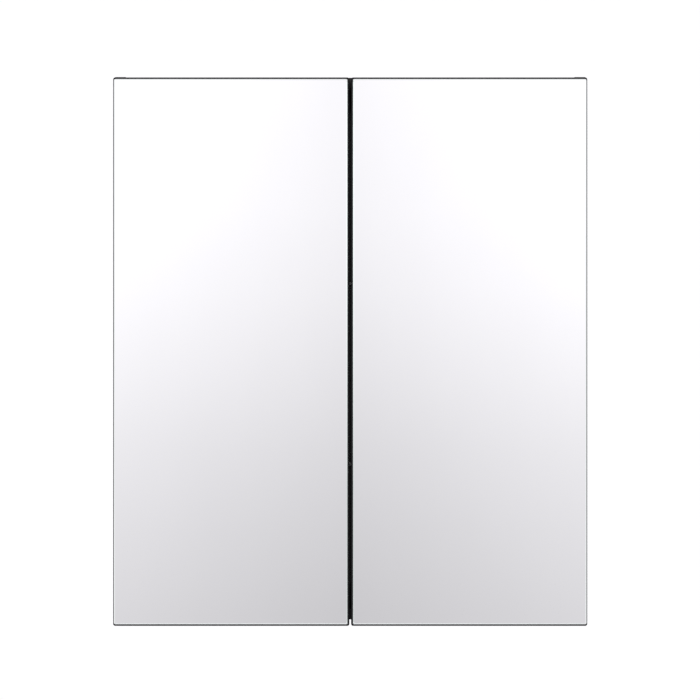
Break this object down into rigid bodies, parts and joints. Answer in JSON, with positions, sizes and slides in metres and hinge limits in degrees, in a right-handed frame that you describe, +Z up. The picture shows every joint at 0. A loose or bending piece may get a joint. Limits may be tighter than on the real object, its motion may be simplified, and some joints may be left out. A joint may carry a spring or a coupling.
{
  "type": "medicine cabinet with mirror",
  "caption": "Wall-hung bathroom cabinet with full-overlay mirror doors on concealed cup hinges and glass shelves inside.",
  "frame": {"origin": "middle of the four wall-screw holes, on the rear plane that meets the wall", "axes": "+X to the right seen from the front, +Y into the wall, +Z up"},
  "size_m": [0.65, 0.15, 0.7556],
  "materials": {
    "back_board": "matt black painted hardboard",
    "beech": "plain beech",
    "black_board": "matt black melamine-faced board with a fine texture",
    "black_plastic": "fine-textured black plastic",
    "clear_silicone": "translucent soft silicone",
    "edge_band": "matt black edge banding",
    "foam_tape": "pale closed-cell foam tape",
    "magnet_barrel": "black plastic barrel with a magnet",
    "mirror_glass": "silvered float glass with a polished arris",
    "nickel_steel": "nickel-plated pressed steel",
    "shelf_glass": "clear float glass with polished edges",
    "zinc_alloy": "cast zinc alloy",
    "zinc_steel": "bright zinc-plated steel"
  },
  "bodies": {
    "cabinet": {"back_panel": "back_board", "bottom_edge_band": "edge_band", "bottom_panel": "black_board", "cam_bolts": "zinc_steel", "cam_covers": "black_plastic", "cam_locks": "zinc_alloy", "dowels": "beech", "hanging_rail_lower": "black_board", "hanging_rail_upper": "black_board", "hinge_arm_left_lower": "nickel_steel", "hinge_arm_left_upper": "nickel_steel", "hinge_arm_right_lower": "nickel_steel", "hinge_arm_right_upper": "nickel_steel", "hinge_clamp_screws": "zinc_steel", "hinge_plate_left_lower": "nickel_steel", "hinge_plate_left_upper": "nickel_steel", "hinge_plate_right_lower": "nickel_steel", "hinge_plate_right_upper": "nickel_steel", "hinge_plate_screws": "zinc_steel", "hinge_trim_screws": "zinc_steel", "magnet_catches": "magnet_barrel", "rail_screw_caps": "black_plastic", "rail_screws": "zinc_steel", "shelf_lower": "shelf_glass", "shelf_pin_pads": "clear_silicone", "shelf_pins": "nickel_steel", "shelf_upper": "shelf_glass", "side_edge_band_left": "edge_band", "side_edge_band_right": "edge_band", "side_panel_left": "black_board", "side_panel_right": "black_board", "top_edge_band": "edge_band", "top_panel": "black_board"},
    "door_left": {"door_board_left": "black_board", "door_bumpers_left": "clear_silicone", "door_edge_band_left": "edge_band", "hinge_cup_left_lower": "nickel_steel", "hinge_cup_left_upper": "nickel_steel", "hinge_cup_screws_left": "zinc_steel", "hinge_pin_left_lower": "zinc_steel", "hinge_pin_left_upper": "zinc_steel", "mirror_left": "mirror_glass", "mirror_tape_left": "foam_tape", "strike_plate_left": "zinc_steel"},
    "door_right": {"door_board_right": "black_board", "door_bumpers_right": "clear_silicone", "door_edge_band_right": "edge_band", "hinge_cup_right_lower": "nickel_steel", "hinge_cup_right_upper": "nickel_steel", "hinge_cup_screws_right": "zinc_steel", "hinge_pin_right_lower": "zinc_steel", "hinge_pin_right_upper": "zinc_steel", "mirror_right": "mirror_glass", "mirror_tape_right": "foam_tape", "strike_plate_right": "zinc_steel"}
  },
  "joints": [
    {"name": "door_left_hinge", "type": "hinge", "parent": "cabinet", "child": "door_left", "pos_m": [-0.318, -0.137, -0.0045], "axis": [0, 0, -1], "range_deg": [0, 105]},
    {"name": "door_right_hinge", "type": "hinge", "parent": "cabinet", "child": "door_right", "pos_m": [0.318, -0.137, -0.0045], "axis": [0, 0, 1], "range_deg": [0, 105]}
  ]
}
